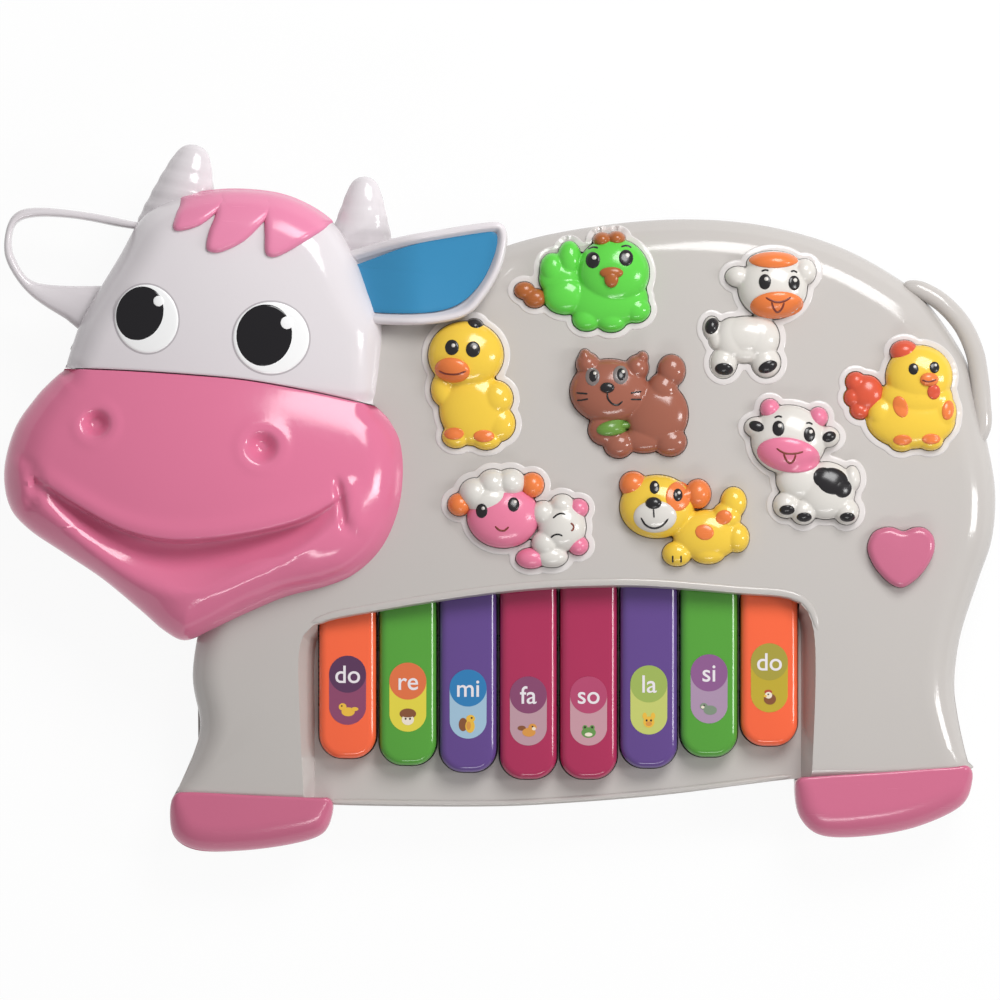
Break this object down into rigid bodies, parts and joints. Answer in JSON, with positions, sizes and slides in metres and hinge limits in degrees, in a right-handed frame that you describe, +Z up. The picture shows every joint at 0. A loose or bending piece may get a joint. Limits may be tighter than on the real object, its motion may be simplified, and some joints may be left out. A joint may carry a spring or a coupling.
{
  "type": "toy electronic keyboard",
  "caption": "Cow-shaped toy keyboard: white domed shell with a short row of coloured keys, animal sound buttons, a heart button, pink muzzle and hooves, and a loop ear for carrying",
  "frame": {"origin": "on the table, under the middle of the toy's bounding box", "axes": "+X from muzzle to tail, +Y from hooves to horns, +Z up out of the keys"},
  "size_m": [0.3592, 0.2551, 0.0595],
  "materials": {
    "white_plastic": "moulded gloss",
    "pink_plastic": "moulded gloss",
    "blue_plastic": "moulded gloss",
    "orange_plastic": "moulded gloss",
    "green_plastic": "moulded gloss",
    "purple_plastic": "moulded gloss",
    "magenta_plastic": "moulded gloss",
    "yellow_plastic": "moulded gloss with painted eyes",
    "lime_plastic": "moulded gloss with painted eyes",
    "brown_plastic": "moulded gloss with painted face",
    "button_white": "moulded gloss with painted face",
    "sheep_pink": "moulded gloss with painted face",
    "contact_rubber": "silicone",
    "board": "solder mask",
    "steel": "plated",
    "wire": "insulation",
    "cell_wrap": "printed wrap",
    "speaker_black": "painted",
    "black_plastic": "moulded"
  },
  "bodies": {
    "case": {"back_screw": "steel", "battery_1": "cell_wrap", "battery_2": "cell_wrap", "battery_3": "cell_wrap", "battery_lead_black": "wire", "battery_lead_red": "wire", "button_board": "board", "button_contact_mat": "contact_rubber", "contact_left_link": "steel", "contact_negative": "steel", "contact_positive": "steel", "contact_right_link": "steel", "ear_handle": "white_plastic", "ear_inset": "blue_plastic", "face_screw": "steel", "face_shell": "white_plastic", "flank_screw": "steel", "forelock": "pink_plastic", "front_hoof": "pink_plastic", "front_housing": "white_plastic", "front_leg_screw": "steel", "key_board": "board", "key_contact_mat": "contact_rubber", "key_pivot_rod": "steel", "left_eye": "white_plastic", "left_horn": "white_plastic", "link_cable": "wire", "muzzle": "pink_plastic", "muzzle_screw": "steel", "rear_hoof": "pink_plastic", "rear_housing": "white_plastic", "rear_leg_screw": "steel", "right_ear": "white_plastic", "right_eye": "white_plastic", "right_horn": "white_plastic", "speaker": "speaker_black", "speaker_lead": "wire", "switch_body": "steel", "tail": "white_plastic"},
    "key_1": {"key_1": "orange_plastic"},
    "key_2": {"key_2": "green_plastic"},
    "key_3": {"key_3": "purple_plastic"},
    "key_4": {"key_4": "magenta_plastic"},
    "key_5": {"key_5": "magenta_plastic"},
    "key_6": {"key_6": "purple_plastic"},
    "key_7": {"key_7": "green_plastic"},
    "key_8": {"key_8": "orange_plastic"},
    "duck_button": {"duck_button": "yellow_plastic"},
    "bird_button": {"bird_button": "lime_plastic"},
    "cat_button": {"cat_button": "brown_plastic"},
    "calf_button": {"calf_button": "button_white"},
    "hen_button": {"hen_button": "yellow_plastic"},
    "cow_button": {"cow_button": "button_white"},
    "sheep_button": {"sheep_button": "sheep_pink"},
    "dog_button": {"dog_button": "yellow_plastic"},
    "heart_button": {"heart_button": "pink_plastic"},
    "switch_knob": {"switch_knob": "black_plastic"},
    "battery_door": {"battery_door": "white_plastic", "door_screw": "steel"}
  },
  "joints": [
    {"name": "key_1_press", "type": "hinge", "parent": "case", "child": "key_1", "pos_m": [-0.05511, -0.0285, 0.027], "axis": [1, 0, 0], "range_deg": [0, 3.5], "stiffness_Nm_per_rad": 0.5, "springref_deg": -3.44, "deforming": ["key_contact_mat"]},
    {"name": "key_2_press", "type": "hinge", "parent": "case", "child": "key_2", "pos_m": [-0.03333, -0.0285, 0.027], "axis": [1, 0, 0], "range_deg": [0, 3.5], "stiffness_Nm_per_rad": 0.5, "springref_deg": -3.44, "deforming": ["key_contact_mat"]},
    {"name": "key_3_press", "type": "hinge", "parent": "case", "child": "key_3", "pos_m": [-0.01154, -0.0285, 0.027], "axis": [1, 0, 0], "range_deg": [0, 3.5], "stiffness_Nm_per_rad": 0.5, "springref_deg": -3.44, "deforming": ["key_contact_mat"]},
    {"name": "key_4_press", "type": "hinge", "parent": "case", "child": "key_4", "pos_m": [0.01026, -0.0285, 0.027], "axis": [1, 0, 0], "range_deg": [0, 3.5], "stiffness_Nm_per_rad": 0.5, "springref_deg": -3.44, "deforming": ["key_contact_mat"]},
    {"name": "key_5_press", "type": "hinge", "parent": "case", "child": "key_5", "pos_m": [0.03204, -0.0285, 0.027], "axis": [1, 0, 0], "range_deg": [0, 3.5], "stiffness_Nm_per_rad": 0.5, "springref_deg": -3.44, "deforming": ["key_contact_mat"]},
    {"name": "key_6_press", "type": "hinge", "parent": "case", "child": "key_6", "pos_m": [0.05384, -0.0285, 0.027], "axis": [1, 0, 0], "range_deg": [0, 3.5], "stiffness_Nm_per_rad": 0.5, "springref_deg": -3.44, "deforming": ["key_contact_mat"]},
    {"name": "key_7_press", "type": "hinge", "parent": "case", "child": "key_7", "pos_m": [0.07562, -0.0285, 0.027], "axis": [1, 0, 0], "range_deg": [0, 3.5], "stiffness_Nm_per_rad": 0.5, "springref_deg": -3.44, "deforming": ["key_contact_mat"]},
    {"name": "key_8_press", "type": "hinge", "parent": "case", "child": "key_8", "pos_m": [0.09742, -0.0285, 0.027], "axis": [1, 0, 0], "range_deg": [0, 3.5], "stiffness_Nm_per_rad": 0.5, "springref_deg": -3.44, "deforming": ["key_contact_mat"]},
    {"name": "duck_press", "type": "slide", "parent": "case", "child": "duck_button", "axis": [0, 0, -1], "range_m": [0, 0.003], "stiffness_N_per_m": 150, "springref_m": -0.003, "deforming": ["button_contact_mat"]},
    {"name": "bird_press", "type": "slide", "parent": "case", "child": "bird_button", "axis": [0, 0, -1], "range_m": [0, 0.003], "stiffness_N_per_m": 150, "springref_m": -0.003, "deforming": ["button_contact_mat"]},
    {"name": "cat_press", "type": "slide", "parent": "case", "child": "cat_button", "axis": [0, 0, -1], "range_m": [0, 0.003], "stiffness_N_per_m": 150, "springref_m": -0.003, "deforming": ["button_contact_mat"]},
    {"name": "calf_press", "type": "slide", "parent": "case", "child": "calf_button", "axis": [0, 0, -1], "range_m": [0, 0.003], "stiffness_N_per_m": 150, "springref_m": -0.003, "deforming": ["button_contact_mat"]},
    {"name": "hen_press", "type": "slide", "parent": "case", "child": "hen_button", "axis": [0, 0, -1], "range_m": [0, 0.003], "stiffness_N_per_m": 150, "springref_m": -0.003, "deforming": ["button_contact_mat"]},
    {"name": "cow_press", "type": "slide", "parent": "case", "child": "cow_button", "axis": [0, 0, -1], "range_m": [0, 0.003], "stiffness_N_per_m": 150, "springref_m": -0.003, "deforming": ["button_contact_mat"]},
    {"name": "sheep_press", "type": "slide", "parent": "case", "child": "sheep_button", "axis": [0, 0, -1], "range_m": [0, 0.003], "stiffness_N_per_m": 150, "springref_m": -0.003, "deforming": ["button_contact_mat"]},
    {"name": "dog_press", "type": "slide", "parent": "case", "child": "dog_button", "axis": [0, 0, -1], "range_m": [0, 0.003], "stiffness_N_per_m": 150, "springref_m": -0.003, "deforming": ["button_contact_mat"]},
    {"name": "heart_press", "type": "slide", "parent": "case", "child": "heart_button", "axis": [0, 0, -1], "range_m": [0, 0.003], "stiffness_N_per_m": 150, "springref_m": -0.003, "deforming": ["button_contact_mat"]},
    {"name": "switch_slide", "type": "slide", "parent": "case", "child": "switch_knob", "axis": [1, 0, 0], "range_m": [0, 0.004]},
    {"name": "door_swing", "type": "hinge", "parent": "case", "child": "battery_door", "pos_m": [0.072, 0.0452, 0.002], "axis": [1, 0, 0], "range_deg": [0, 60]}
  ]
}
